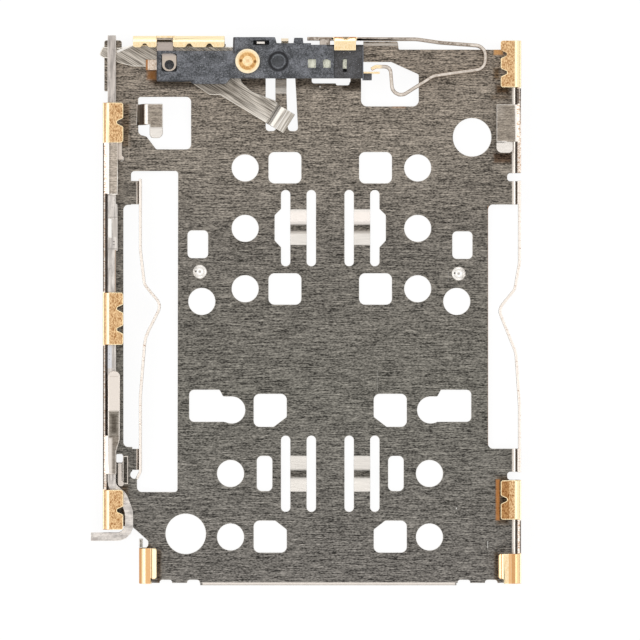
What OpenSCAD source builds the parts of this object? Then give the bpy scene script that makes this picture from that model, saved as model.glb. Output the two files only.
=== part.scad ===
// Push-out reader for a tray with two nano cards, seen from the side that is soldered
// to the board. The roof lies on z = 0, the tray mouth faces -Y, the ejector runs along
// the left wall and the insulator with the tray switch sits in the back left corner.

/* [Sheet shell] */
// Thickness of the stainless sheet
sheet_t = 0.15; // [0.12:0.01:0.18]
// Outer radius of each fold
fold_r = 0.3; // [0.25:0.01:0.34]
// Width over the side walls
shell_w = 17.4; // [17.2:0.05:17.8]
// Length from the back wall to the mouth lip
shell_l = 22.9; // [22.6:0.05:23.4]
// Height from the roof to the solder plane
shell_h = 1.35; // [1.32:0.01:1.5]
// How far a steel lip lies under the solder plane
lip_drop = 0.05; // [0.02:0.01:0.07]
// Length of the coined lead-in at the mouth
lead_in = 0.1; // [0.06:0.01:0.2]

/* [Solder feet] */
// Reach of a side foot over the inside
side_foot = 0.85; // [0.7:0.01:0.9]
// Reach of a back foot over the inside
back_foot = 0.48; // [0.42:0.01:0.5]
// Reach of the left mouth foot over the inside
left_mouth_foot = 0.74; // [0.6:0.01:0.85]
// Reach of the right mouth foot over the inside
right_mouth_foot = 0.94; // [0.8:0.01:0.98]
// Width of the solder notch in a foot
notch_w = 0.34; // [0.24:0.01:0.4]
// Depth of the solder notch in a side foot
notch_d = 0.26; // [0.15:0.01:0.3]
// Depth of the solder notch in a back foot
back_notch_d = 0.16; // [0.1:0.01:0.18]
// Corner radius of a foot
foot_r = 0.1; // [0.05:0.01:0.12]

/* [Roof holes] */
// Radius of a small round probe hole
probe_r = 0.56; // [0.45:0.01:0.6]
// Pitch between the rows of probe holes
probe_pitch = 2.52; // [2.45:0.01:2.6]
// Distance from the middle to a column of upper probe holes
probe_x = 3.6; // [3.5:0.01:3.62]
// Radius of the hole near the right finger
right_hole_r = 0.8; // [0.6:0.01:0.85]
// Radius of the hole in the lower left corner
corner_hole_r = 0.84; // [0.6:0.01:0.9]
// Width of a square contact window
window_w = 1.36; // [1.2:0.01:1.42]
// Height of a square contact window
window_h = 1.3; // [1.2:0.01:1.36]
// Corner radius of the contact windows
window_r = 0.24; // [0.1:0.01:0.4]
// Width of a bridge slot
slot_w = 0.38; // [0.3:0.01:0.42]
// Length of a bridge slot
slot_l = 3.17; // [3:0.01:3.3]
// Width of a contact bridge
bridge_w = 0.69; // [0.6:0.01:0.7]
// Distance from the middle of the cards to the outer side of the bridge slots
slots_out = 2.05; // [2:0.01:2.1]
// How far a bridge is pressed into the inside
bridge_rise = 0.2; // [0.1:0.01:0.35]

/* [Detent springs] */
// How far a detent bump stands into the tray space
bump = 0.88; // [0.7:0.01:0.95]
// Height of a spring strip
spring_h = 0.75; // [0.6:0.01:0.8]
// Thickness of a spring strip
spring_t = 0.11; // [0.1:0.01:0.15]

/* [Ejector] */
// Thickness of the push rod
rod_t = 0.34; // [0.3:0.01:0.38]
// Height of the push rod
rod_h = 0.82; // [0.7:0.01:0.83]
// Running gap between the rod and its guides
rod_gap = 0.04; // [0.03:0.01:0.06]
// Length of the hooked push foot
push_foot = 0.7; // [0.5:0.01:1]
// Thickness of the eject lever
lever_t = 0.3; // [0.25:0.01:0.32]
// Height of the lever above the roof sheet
lever_lift = 0.1; // [0.08:0.01:0.12]
// Radius of the pivot shoulder
pivot_r = 0.3; // [0.25:0.01:0.34]
// Running gap around the pivot
pivot_gap = 0.02; // [0.01:0.005:0.04]
// Radius of the pivot head
pivot_head_r = 0.51; // [0.45:0.01:0.6]

/* [Insulator and switch] */
// Thickness of the insulator above the lever
block_t = 0.55; // [0.5:0.01:0.58]
// Radius of the locating peg
peg_r = 0.3; // [0.2:0.01:0.33]
// Thickness of the lead frame
lead_t = 0.12; // [0.08:0.01:0.14]
// Gap between moulded plastic and metal
mould_gap = 0.01; // [0.005:0.001:0.02]
// Thickness of the switch spring
switch_t = 0.14; // [0.1:0.01:0.16]
// Height of the switch spring strip
switch_h = 0.75; // [0.6:0.01:0.78]

/* [Hidden] */
$fn = 48;

half_w = shell_w / 2;
back_y = shell_l / 2;
mouth_y = lead_in - shell_l / 2;
lip_top = shell_h - lip_drop;
card_x = 0.76;
bridge_rows = [3.46, -6.79];
bridge_x = slots_out - slot_w - bridge_w / 2;
bridge_y = [3.5, -6.79];
bridge_half = 0.73;
dimples = [[-4.68, 1.64], [6.12, 1.56]];
seat_x = [-1.53, -1.06];
seat_y = back_y - 1.5;
seat_half = 0.88;
wall_back = back_y - 2.78;
finger_x = 1.45 - half_w;
finger_y = [back_y - 3.7, back_y - 2.83];

rod_x = half_w - sheet_t - rod_gap - rod_t / 2;
guide_x = half_w - sheet_t - 2 * rod_gap - rod_t - 0.05;
rod_z = sheet_t + 0.09;
rod_back = back_y + 0.03;
rod_coin = back_y - 7.97;
foot_y = 2.05 - back_y;
lever_z = sheet_t + lever_lift;
lever_top = lever_z + lever_t;
block_z = lever_top + 0.05;
block_top = block_z + block_t;
pivot = [-2.68, back_y - 1.05];
spigot_r = pivot_r - 0.1;
tongue_top = block_top - 0.15;
lead_z = block_z + 0.08;
strip_y = back_y - 0.11;
strip_z = sheet_t + 0.15;

steel = [0.55, 0.52, 0.47];
gold = [0.88, 0.66, 0.32];
black = [0.24, 0.25, 0.29];
bright = [0.8, 0.78, 0.74];

// Unit vector along v
function unit(v) = v / norm(v);

// Points of the arc that rounds corner b between a and c; b holds its radius
function corner(a, b, c) =
    let (p = [b[0], b[1]], u = unit([a[0], a[1]] - p), v = unit([c[0], c[1]] - p),
         r = len(b) > 2 ? b[2] : 0)
    r <= 0 ? [p] :
    let (half = acos(max(-1, min(1, u * v))) / 2, o = p + unit(u + v) * (r / sin(half)),
         s = p + u * (r / tan(half)) - o, e = p + v * (r / tan(half)) - o,
         steps = max(2, ceil((180 - 2 * half) / 18)))
    [for (i = [0 : steps]) o + r * unit(s * (steps - i) / steps + e * i / steps)];

// Closed outline through corners [x, y, radius]
function outline(c) = let (n = len(c))
    [for (i = [0 : n - 1]) each corner(c[(i + n - 1) % n], c[i], c[(i + 1) % n])];

// Open path through corners [x, y, radius]
function path(c) = let (n = len(c))
    [[c[0][0], c[0][1]], for (i = [1 : n - 2]) each corner(c[i - 1], c[i], c[i + 1]),
     [c[n - 1][0], c[n - 1][1]]];

// Side offset of a path at point i, square to both neighbours
function side(p, i) =
    let (n = len(p), a = i > 0 ? unit(p[i] - p[i - 1]) : unit(p[1] - p[0]),
         b = i < n - 1 ? unit(p[i + 1] - p[i]) : a, m = unit(a + b))
    [-m[1], m[0]] / (m * a);

// Outline of a strip of width w along a path
function strip(p, w) = let (n = len(p))
    concat([for (i = [0 : n - 1]) p[i] + side(p, i) * w / 2],
           [for (i = [n - 1 : -1 : 0]) p[i] - side(p, i) * w / 2]);

// Corners of a box from x0, y0 to x1, y1 with corner radius r
function frame_of(x0, y0, x1, y1, r) = [[x0, y0, r], [x1, y0, r], [x1, y1, r], [x0, y1, r]];

// Flat shape with rounded corners
module flat(corners) polygon(outline(corners));

// Rounded window from x0, y0 to x1, y1
module window(x0, y0, x1, y1, r = 0.2) flat(frame_of(x0, y0, x1, y1, r));

// Plain block from one corner to the other
module block(x0, y0, z0, x1, y1, z1)
    translate([x0, y0, z0]) cube([x1 - x0, y1 - y0, z1 - z0]);

// Solid of a profile drawn in X and Z, running along Y from y0 to y1
module along_y(y0, y1) translate([0, y1, 0]) rotate([90, 0, 0]) linear_extrude(y1 - y0) children();

// Solid of a profile drawn in Y and Z, running along X from x0 to x1
module along_x(x0, x1)
    translate([x0, 0, 0]) rotate([90, 0, 90]) linear_extrude(x1 - x0) children();

// Section of a wall that folds up from the roof at outer face 0 and, where reach is
// set, folds over the inside at height top
module wall_section(root, top, reach = 0)
    let (m = sheet_t / 2, r = fold_r - m, rise = [[root, m], [m, m, r]])
    polygon(strip(path(reach > 0 ? concat(rise, [[m, top - m, r], [reach, top - m]])
                                 : concat(rise, [[m, top]])), sheet_t));

// Everything outside the free edge of a foot that runs along Y and reaches along X, with
// its rounded corners and a rounded solder notch at each of the places
module foot_trim(from, to, places, reach, depth) let (w = notch_w / 2)
    translate([0, 0, shell_h - sheet_t - 0.1]) linear_extrude(sheet_t + 0.2) difference() {
        translate([reach - depth - 0.1, from - 0.1]) square([depth + 0.2, to - from + 0.2]);
        flat([[0, from], [reach, from, foot_r],
              for (p = places) each [[reach, p - w, 0.07], [reach - depth, p - 0.05, 0.06],
                                     [reach - depth, p + 0.05, 0.06], [reach, p + w, 0.07]],
              [reach, to, foot_r], [0, to]]);
    }

// Left half of the side layout: from is the end near the mouth, to the end near the back
module left_wall(from, to, top = lip_top, reach = 0)
    translate([-half_w, 0, 0]) along_y(from, to) wall_section(fold_r + 0.05, top, reach);

module right_wall(from, to, top = lip_top, reach = 0) mirror([1, 0, 0])
    left_wall(from, to, top, reach);

// Plated foot on the left wall with its solder notches
module left_foot(from, to, places) difference() {
    left_wall(from, to, shell_h, side_foot);
    translate([-half_w, 0, 0]) foot_trim(from, to, places, side_foot, notch_d);
}

module right_foot(from, to, places) mirror([1, 0, 0]) left_foot(from, to, places);

// Foot w long beside the mouth; its free edge is bent down and set back at the mouth
module mouth_foot(w, reach) let (m = sheet_t / 2, r = fold_r - m, z = shell_h - m,
                                 bend = reach - 0.22)
    translate([-half_w, 0, 0]) difference() {
        along_y(mouth_y, mouth_y + w)
            polygon(strip(path([[fold_r + 0.05, m], [m, m, r], [m, z, r], [bend, z, 0.12],
                                [reach + 0.1, z - 0.16]]), sheet_t));
        translate([0, 0, fold_r + sheet_t]) linear_extrude(shell_h) difference() {
            translate([bend - 0.1, mouth_y - 0.1]) square([0.6, w + 0.2]);
            flat([[0, mouth_y], [bend, mouth_y], [bend, mouth_y + 0.2],
                  [reach, mouth_y + 0.2, 0.12], [reach, mouth_y + w, foot_r],
                  [0, mouth_y + w]]);
        }
    }

// Outline of the flat roof, without the folds
module roof_outline()
    let (l = -half_w, e = fold_r, b = back_y)
    flat([[l + 0.03, b - 2.28, 0.05], [l + 0.03, b - 0.15, 0.1], [l + 0.76, b - 0.15, 0.1],
          [l + 0.76, b - 0.5], [-7.45, b - 0.5], [-7.45, b - e], [-3.6, b - e], [-3.6, b - 0.5],
          [-2.55, b - 0.5], [-2.5, b - 0.15], [-1.75, b - 0.15], [-1.7, b - 0.5],
          [2.14, b - 0.5], [2.14, b - 0.2], [3.58, b - 0.2, 0.08], [3.62, b - 0.54, 0.05],
          [half_w - 0.8, b - 0.54], [half_w - 0.8, b - 0.2], [half_w - e, b - 0.2],
          [half_w - e, mouth_y], [l + 1.5 + e, mouth_y], [l + 1.5 + e, mouth_y + 1.5],
          [l + 1.86, mouth_y + 1.56, 0.05], [l + 1.86, mouth_y + 1.76, 0.1],
          [l + 1.17, mouth_y + 2.37, 0.1], [l + e, mouth_y + 2.37], [l + e, wall_back],
          [l + 0.4, wall_back], [l + 0.4, b - 2.28]]);

// Round probe holes of both card places
module probe_holes() {
    for (side = [-1, 1]) {
        for (row = [-1, 0, 1])
            translate([side * probe_x + 0.81, 3.45 + row * probe_pitch]) circle(probe_r);
        for (y = [-6.78, -9.43]) translate([side * 4.15 + 0.75, y]) circle(probe_r);
        translate([side * 5.32 + 0.72, 0.4]) circle(probe_r);
        translate([side * 4.15 + 0.8, -4.13]) circle(probe_r);
    }
    translate([half_w - 2.02, back_y - 4.2]) circle(right_hole_r);
    translate([3.43 - half_w, mouth_y + 2.05]) circle(corner_hole_r);
}

// Rounded contact windows; the card places are mirrored about x = centre_x
module contact_windows() {
    w = window_w / 2;
    h = window_h / 2;
    for (x = [-1.13, 2.65], y = [5.98, 0.92])
        window(x - w, y - h, x + w, y + h, window_r);
    window(-5.19, 2.21, -4.34, 3.36, 0.18);
    window(5.86, 2.18, 6.69, 3.32, 0.18);
    for (x = [-1.98, 3.5]) window(x - 0.32, -7.51, x + 0.32, -6.05, 0.2);
    for (side = [-1, 1]) translate([card_x, 0]) mirror([side < 0 ? 0 : 1, 0]) {
        flat([[-3.19, -4.83, window_r], [-2.36, -4.83, 0.1], [-1.82, -4.42, 0.1],
              [-1.82, -3.46, window_r], [-3.19, -3.46, window_r]]);
        flat([[-3.19, -10.08, window_r], [-1.82, -10.08, window_r], [-1.82, -9.12, 0.1],
              [-2.3, -8.75, 0.1], [-3.19, -8.75, window_r]]);
        window(-5.88, -4.62, -4.56, -3.29, 0.2);
        flat([[-4.9, -3.29], [-4.62, -3.29, 0.08], [-4.47, -3.57, 0.08], [-4.11, -3.57],
              [-4.11, -4.69], [-4.45, -4.62, 0.1], [-4.9, -4.62]]);
    }
}

// The pair of slots beside each contact bridge; the upper outer ones have a bulge
module bridge_slots() for (row = [0, 1], side = [0, 1])
    translate([card_x, bridge_rows[row]]) mirror([side, 0]) {
        for (x = [-slots_out, slot_w + bridge_w - slots_out])
            window(x, -slot_l / 2, x + slot_w, slot_l / 2, slot_w / 2 - 0.01);
        if (row == 0) translate([-slots_out, 0])
            flat([[0.1, -0.8], [0, -0.8], [-0.265, -0.52, 0.12], [-0.265, 0.54, 0.12],
                  [0, 0.8], [0.1, 0.8]]);
    }

// The flat of each bridge, cut away so that the pressed bridge takes its place
module bridge_cuts() for (y = bridge_y, side = [-1, 1])
    translate([card_x + side * bridge_x, y]) square([bridge_w, 2 * bridge_half], true);

// Pressed bridges that hold the cards down on their contacts
module bridges() for (y = bridge_y, side = [-1, 1]) let (x = card_x + side * bridge_x)
    along_x(x - bridge_w / 2, x + bridge_w / 2) pressed_strip(y, bridge_half, 0.16, bridge_rise);

// Section of a strip pressed up by rise between y - half and y + half
module pressed_strip(y, half, flat_half, rise) let (m = sheet_t / 2)
    polygon(strip(path([[y - half - 0.05, m], [y - half, m, 0.25],
                        [y - flat_half, m + rise, 0.5], [y + flat_half, m + rise, 0.5],
                        [y + half, m, 0.25], [y + half + 0.05, m]]), sheet_t));

// Large openings beside the detent springs, the finger and the insulator
module large_openings() {
    l = -half_w;
    b = back_y;
    flat([[l + 1.15, b - 5.61, 0.15], [l + 1.15, b - 7.02], [l + 0.83, b - 7.02, 0.2],
          [l + 0.83, b - 17.12, 0.2], [l + 1.2, b - 17.12], [l + 1.2, b - 18.43],
          [l + 1.4, b - 18.43], [l + 1.4, b - 19, 0.2], [l + 3.08, b - 19, 0.12],
          [l + 3.11, b - 5.61, 0.12]]);
    translate([l + 1.29, b - 18.28]) circle(0.17);
    window(half_w - 1.35, b - 17.19, half_w + 0.1, b - 7.01, 0.2);
    for (y = [b - 6.03, b - 18.49]) window(half_w - 0.55, y, half_w + 0.1, y + 0.33, 0.12);
    flat([[l + 1.45, b - 4.08, 0.2], [l + 1.45, b - 2.52, 0.1], [l + 3.65, b - 2.52, 0.2],
          [l + 3.65, b - 4.7, 0.2], [l + 2.2, b - 4.7, 0.1], [l + 1.8, b - 4.17, 0.1]]);
    flat([[2.05, b - 2.91, 0.25], [4.45, b - 2.91, 0.25], [4.45, b - 1.58, 0.1],
          [3.3, b - 1.06, 0.1], [2.05, b - 1.06, 0.1]]);
    window(finger_x - 0.17, finger_y[0], finger_x + 0.3, finger_y[1], 0.01);
    window(-0.01, b - 1.95, 1.6, b - 1.5, 0.1);
    window(0.99, b - 2.03, 1.56, b - 1.5, 0.08);
    flat([[-1.93, b - 3.94, 0.15], [-1.5, b - 3.94, 0.15], [-1.53, b - 2.4],
          [seat_x[0], b - 0.62], [-1.93, b - 0.62]]);
    flat([[-1, b - 3.94, 0.15], [-0.58, b - 3.94, 0.15], [-0.71, b - 1.6],
          [-0.8, b - 0.62], [seat_x[1], b - 0.62], [seat_x[1], b - 2.4]]);
    translate([seat_x[0] - 0.1, seat_y - seat_half])
        square([seat_x[1] - seat_x[0] + 0.2, 2 * seat_half]);
    window(l + 0.52, b - 17.77, l + 0.81, b - 17.42, 0.08);
}

// Notches in the mouth edge
module mouth_notches() for (x = [-6.1, -4.95, 6.34, 7.48])
    window(x - 0.26, mouth_y - 0.3, x + 0.26, mouth_y + 0.13, 0.11);

// Flat roof with all its openings and the two pressed dimples
module roof() let (b = back_y) {
    difference() {
        linear_extrude(sheet_t) difference() {
            roof_outline();
            probe_holes();
            contact_windows();
            bridge_slots();
            bridge_cuts();
            large_openings();
            mouth_notches();
            translate(pivot) circle(spigot_r + mould_gap);
        }
        guide_panel(b - 5.06, b - 4.03);
        guide_panel(b - 18.65, b - 17.5);
        for (p = dimples) translate([p[0], p[1], -0.01]) cylinder(h = 0.07, r1 = 0.21, r2 = 0.14);
    }
    for (p = dimples) translate([p[0], p[1], sheet_t - 0.01]) difference() {
        cylinder(h = 0.07, r1 = 0.29, r2 = 0.2);
        translate([0, 0, 0.03]) cylinder(h = 0.05, r1 = 0.06, r2 = 0.15);
    }
    bridges();
    along_x(seat_x[0], seat_x[1]) pressed_strip(seat_y, seat_half, 0.28, 0.1);
    translate([-4.67, mouth_y - lead_in, 0]) cube([10.7, lead_in + 0.1, sheet_t / 2]);
}

// Standing strip along a path, from height z0
module standing(corners, w, z0, h) translate([0, 0, z0]) linear_extrude(h)
    polygon(strip(path(corners), w));

// Left detent spring: it stands on a fold at each end and bulges into the tray space
module left_detent() {
    x = 1.55 - half_w;
    b = back_y;
    for (y = [[b - 7.0, b - 6.02], [b - 18.08, b - 17.2]])
        translate([x - spring_t / 2, 0, 0]) along_y(y[0], y[1])
            let (m = sheet_t / 2, r = 0.2)
            polygon(strip(path([[-0.45, m], [spring_t / 2, m, r], [spring_t / 2, 0.7]]),
                          spring_t));
    standing([[x, b - 5.95], [x, b - 8.9, 2], [x + 0.17, b - 10.35, 0.5],
              [x + bump, b - 11.2, 0.45], [x + 0.2, b - 12.55, 1.5], [x, b - 15, 3],
              [x, b - 18.15, 0.25], [x - 0.16, b - 18.45]], spring_t, strip_z, spring_h);
}

// Right detent spring: the wall itself, cut free of the roof
module right_detent() {
    x = half_w - spring_t / 2;
    b = back_y;
    standing([[x, b - 6.03], [x, b - 9.45, 1], [x - 0.2, b - 10.55, 0.4],
              [x - bump, b - 11.38, 0.45], [x - 0.15, b - 13.2, 1], [x, b - 15.4, 2],
              [x, b - 18.16]], spring_t, strip_z, spring_h);
}

// Spring tab over the inside with its bent end towards the mouth; x0 is its root
module finger_leaf(x0, x1, y0, y1) let (m = sheet_t / 2, z = lip_top - m)
    intersection() {
        along_x(x0 - 0.1, x1 + 0.1)
            polygon(strip(path([[y1, z], [y0, z, 0.3], [y0 - 0.6, z - 0.22]]), sheet_t));
        linear_extrude(shell_h)
            flat([[x0, y0 - 0.45, 0.16], [x1, y0 - 0.45, 0.22], [x1, y1 + 0.1], [x0, y1 + 0.1]]);
    }

// Finger lanced from the roof: it folds up from the plate and over the inside
module left_finger() let (m = sheet_t / 2, r = 0.2, z = lip_top - m, x = finger_x + m) {
    along_y(finger_y[0], finger_y[1])
        polygon(strip(path([[x - r - 0.15, m], [x, m, r], [x + 0.22, z, r], [x + 0.5, z]]),
                      sheet_t));
    finger_leaf(x + 0.42, x + 0.97, finger_y[0] - 0.1, finger_y[1]);
}

// Finger folded over from the right wall
module right_finger() {
    right_wall(back_y - 4.41, back_y - 2.85, lip_top, 0.6);
    mirror([1, 0, 0]) finger_leaf(0.35 - half_w, 1.02 - half_w, back_y - 4.41, back_y - 2.85);
}

// Guide cheek that stands beside the rod, with its rounded end
module rod_guide(y0, y1) {
    x = guide_x;
    block(-x, y0, 0.05, sheet_t - x, y1, 0.95);
    translate([sheet_t * 0.8 - x, y0 - 0.03, 0.05]) cylinder(h = 0.9, r = 0.12);
}

// Sunk panel of the roof beside a guide cheek
module guide_panel(y0, y1) let (x = guide_x)
    block(sheet_t - x + 0.01, y0, sheet_t - 0.04, 0.4 - x, y1, sheet_t + 1);

// Tongue that reaches from the back wall into the pocket of the insulator
module tongue() {
    difference() {
        union() {
            block(-6.46, back_y - 0.79, tongue_top - sheet_t, -5.78, back_y - 0.45, tongue_top);
            translate([0, 0, tongue_top - sheet_t]) linear_extrude(sheet_t)
                flat([[-6.25, back_y - 1.47, 0.28], [-5.64, back_y - 1.47, 0.28],
                      [-5.64, back_y - 0.75, 0.1], [-6.25, back_y - 0.75, 0.05]]);
        }
        translate([-5.94, back_y - 1.2, 0]) cylinder(h = shell_h, r = 0.2);
    }
}

// Lug that stands up from the roof through the insulator; grow widens it for its slot
module lug(grow = 0) block(-2.3 - grow, back_y - 0.33 - grow, sheet_t / 2 - grow,
                           -1.97 + grow, back_y - 0.23 + grow, block_top - 0.1);

// Back wall with its two plated feet
module back_wall() {
    module section(top, reach) translate([back_y, 0, 0]) mirror([1, 0, 0])
        wall_section(fold_r + 0.05, top, reach);
    difference() {
        union() {
            along_x(-7.45, -6.46) section(shell_h, back_foot);
            along_x(-6.46, -5.78) section(tongue_top, 0.5);
            block(-6.5, back_y - sheet_t, tongue_top + 0.07, -5.7, back_y, shell_h - 0.05);
            along_x(-5.78, -3.64) section(shell_h, back_foot);
        }
        translate([0, back_y, 0]) rotate(-90) {
            foot_trim(-7.45, -6.46, [-6.96], back_foot, back_notch_d);
            foot_trim(-5.78, -3.64, [-5.11, -4.27], back_foot, back_notch_d);
        }
    }
}

module shell() color(steel) {
    b = back_y;
    roof();
    back_wall();
    tongue();
    lug();
    left_wall(b - 20.55, wall_back, lip_top - 0.1);
    left_foot(b - 4.44, b - 2.78, [b - 3.6]);
    left_wall(b - 6.61, b - 4.44, lip_top, 0.62);
    left_foot(b - 12.86, b - 10.68, [b - 12.22, b - 11.35]);
    left_wall(b - 18.24, b - 16.62, lip_top, 0.56);
    translate([-half_w, 0, lip_top - sheet_t]) linear_extrude(sheet_t)
        flat([[0.24, b - 17.35], [0.55, b - 17.35, 0.2], [0.7, b - 16.8, 0.4],
              [0.71, b - 13.96, 0.2], [0.22, b - 13.96, 0.2], [0.22, b - 16.7]]);
    left_foot(b - 20.55, b - 18.89, [b - 19.75]);
    right_wall(b - 5.7, b - 0.2, lip_top - 0.1);
    right_foot(b - 2.15, b - 0.2, [b - 1.53, b - 0.77]);
    right_finger();
    left_finger();
    right_wall(b - 7.01, b - 6.03, lip_top - 0.1);
    right_wall(b - 18.16, b - 17.19, lip_top - 0.1);
    right_wall(mouth_y, b - 18.49, lip_top - 0.1);
    right_foot(b - 20.13, b - 18.49, [b - 19.3]);
    right_detent();
    left_detent();
    rod_guide(b - 5.06, b - 4.03);
    rod_guide(b - 18.6, b - 17.8);
    mirror([1, 0, 0]) mouth_foot(1.25, right_mouth_foot);
    translate([1.5, 0, 0]) mouth_foot(1.48, left_mouth_foot);
    // Ear above the mouth foot
    block(1.5 - half_w, mouth_y + 1.4, fold_r + 0.2,
          1.5 - half_w + sheet_t, mouth_y + 1.86, shell_h - fold_r);
}

// Outline of the insulator seen from above
module housing_outline() let (b = back_y) flat([
    [-6.46, b - 1.89, 0.03], [-5.08, b - 1.89], [-4.95, b - 1.99, 0.05], [-3.6, b - 1.99, 0.05],
    [-3.4, b - 1.76], [2.14, b - 1.76, 0.03], [2.14, b - 0.37, 0.03], [-0.04, b - 0.37],
    [-0.04, b - 0.3], [-0.2, b - 0.3], [-0.36, b - 0.3], [-0.38, b - 0.08, 0.03],
    [-0.74, b - 0.08, 0.03], [-0.77, b - 0.3], [-1.47, b - 0.3], [-1.54, b - 0.05, 0.04],
    [-3.28, b - 0.05, 0.04], [-3.3, b - 0.62, 0.04], [-6.46, b - 0.62, 0.03]]);

module housing() color(black) difference() {
    union() {
        translate([0, 0, block_z]) linear_extrude(block_t) housing_outline();
        translate([0, 0, sheet_t]) linear_extrude(block_z - sheet_t + 0.1)
            flat([[-0.75, back_y - 1.45, 0.05], [2.1, back_y - 1.45, 0.05],
                  [2.1, back_y - 0.55, 0.05], [-0.75, back_y - 0.55, 0.05]]);
        block(2.1, back_y - 1.84, block_z, 2.49, back_y - 1.58, block_top - 0.05);
        translate([-1.4, back_y - 1.06, block_top - 0.1]) cylinder(h = 0.16, r = peg_r);
    }
    // Moat around the locating peg
    translate([-1.4, back_y - 1.06, block_top - 0.06]) difference() {
        cylinder(h = 1, r = peg_r + 0.1);
        translate([0, 0, -0.1]) cylinder(h = 2, r = peg_r);
    }
    translate([pivot[0], pivot[1], 0]) cylinder(h = 2, r = pivot_r + mould_gap);
    // Pocket over the tongue, and the slot that the tongue enters through
    translate([0, 0, tongue_top - sheet_t - mould_gap]) linear_extrude(1)
        window(-6.27, back_y - 1.49, -5.62, back_y - 0.73, 0.08);
    block(-6.46, back_y - 0.8, tongue_top - sheet_t - mould_gap,
          -5.75, back_y, tongue_top + mould_gap);
    translate([-5.94, back_y - 1.2, block_z + 0.15]) cylinder(h = 1, r = 0.19);
    // Windows over the lead frame
    translate([0, 0, lead_z]) linear_extrude(1) {
        window(-0.17, back_y - 1.33, 0.17, back_y - 0.96, 0.03);
        flat([[0.47, back_y - 1.33], [0.77, back_y - 1.33], [0.77, back_y - 1.03],
              [0.62, back_y - 0.93], [0.45, back_y - 1.03]]);
        window(1.28, back_y - 1.5, 1.45, back_y - 0.94, 0.03);
        window(-2.45, back_y - 0.38, -1.78, back_y - 0.18, 0.03);
    }
    lug(0.02);
    // Sunk panel at the right end
    block(0.93, back_y - 1.74, block_top - 0.03, 2.1, back_y - 0.6, block_top + 1);
    lead_frame(mould_gap);
    solder_tail(mould_gap);
    contact_pad(mould_gap);
    spring_tab(mould_gap);
}

// Lead frame moulded into the block; grow widens it for its own cavity
module lead_frame(grow = 0) {
    b = back_y;
    z0 = lead_z - grow;
    z1 = lead_z + lead_t + grow;
    module bar(x0, y0, x1, y1) block(x0 - grow, y0 - grow, z0, x1 + grow, y1 + grow, z1);
    bar(-6.92, b - 1.41, -6.33, b - 0.98);
    bar(-6.42, b - 1.7, -6.28, b - 0.98);
    bar(-6.42, b - 1.7, -0.7, b - 1.52);
    bar(-0.98, b - 1.7, -0.7, b - 0.95);
    bar(-0.98, b - 1.36, 1.85, b - 0.95);
    bar(1.55, b - 1.6, 1.85, b - 0.95);
    bar(1.55, b - 1.6, 2.1, b - 1.5);
    bar(-0.98, b - 1.36, -0.8, b - 0.45);
    bar(-1.28, b - 0.62, -0.8, b - 0.45);
}

// Tail of the lead frame that rises to the solder plane behind the block
module solder_tail(grow = 0)
    along_x(-1.28 - grow, grow - 0.98) let (z = lead_z + lead_t / 2, y = back_y - 0.17)
    polygon(strip(path([[y - 0.43, z], [y, z, 0.1], [y, shell_h - 0.02]]), lead_t + 2 * grow));

// Contact pad on edge, over the nub of the block
module contact_pad(grow = 0)
    block(1.9 - grow, back_y - 1.57 - grow, block_z + 0.02 - grow,
          2.82 + grow, back_y - 1.49 + grow, block_top - 0.1 + grow);

module switch_contact() color(gold) {
    lead_frame();
    solder_tail();
    contact_pad();
}

// Tab that roots the switch spring in the block; grow widens it for its slot
module spring_tab(grow = 0)
    block(0.32 - grow, back_y - 0.65 - grow, block_top - 0.2 - grow,
          0.75 + grow, strip_y, block_top - 0.08 + grow);

module switch_spring() color(bright) {
    b = back_y;
    standing([[-0.2, strip_y], [4.35, strip_y - 0.02, 2], [5.3, b - 0.27, 2],
              [7.24, b - 0.42, 0.42], [7.2, b - 1.36, 0.38], [5.06, b - 1.66, 0.5],
              [3.38, b - 2.72, 0.38], [3.26, b - 1.28, 0.24], [2.66, b - 1.27, 0.1],
              [2.47, b - 1.38]], switch_t, strip_z, switch_h);
    spring_tab();
    difference() {
        translate([0, strip_y + switch_t / 2, 0]) mirror([0, 1, 0]) along_x(0.92, 1.83)
            let (m = switch_t / 2, z = shell_h - m)
            polygon(strip(path([[m, strip_z + 0.1], [m, z, 0.15], [0.57, z]]), switch_t));
        translate([1.4, strip_y + switch_t / 2 + 0.05, shell_h / 2 + 0.3])
            cylinder(h = shell_h, r = notch_w / 2);
    }
}

// Push rod: a strip on edge, notched for the lever, with a coined bulge towards the
// inside and a hooked push foot
module eject_rod() color(bright) {
    y = foot_y;
    difference() {
        translate([-rod_x, rod_coin, rod_z + 0.1]) linear_extrude(rod_h - 0.1)
            window(0, -0.98, rod_t / 2 + 0.07, 0.98, 0.06);
        // Coined flat beside the bulge
        block(-rod_x - rod_t, rod_coin - 0.42, rod_z + rod_h - 0.04,
              -rod_x, rod_coin + 0.42, rod_z + rod_h + 1);
    }
    difference() {
        standing([[-rod_x, rod_back], [-rod_x, y + 2.1, 0.42], [0.45 - rod_x, y + 1.72, 0.5],
                  [0.72 - rod_x, y + 1.05, 0.8], [0.72 - rod_x, y, 0.5],
                  [-rod_x - 0.17 - push_foot, y]], rod_t, rod_z, rod_h);
        block(-half_w, back_y - 1.18, 0, 0.6 - half_w, back_y - 0.37, lever_top + 0.08);
        block(-rod_x - rod_t, rod_coin - 0.42, rod_z + rod_h - 0.04,
              -rod_x, rod_coin + 0.42, rod_z + rod_h + 1);
    }
}

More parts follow.
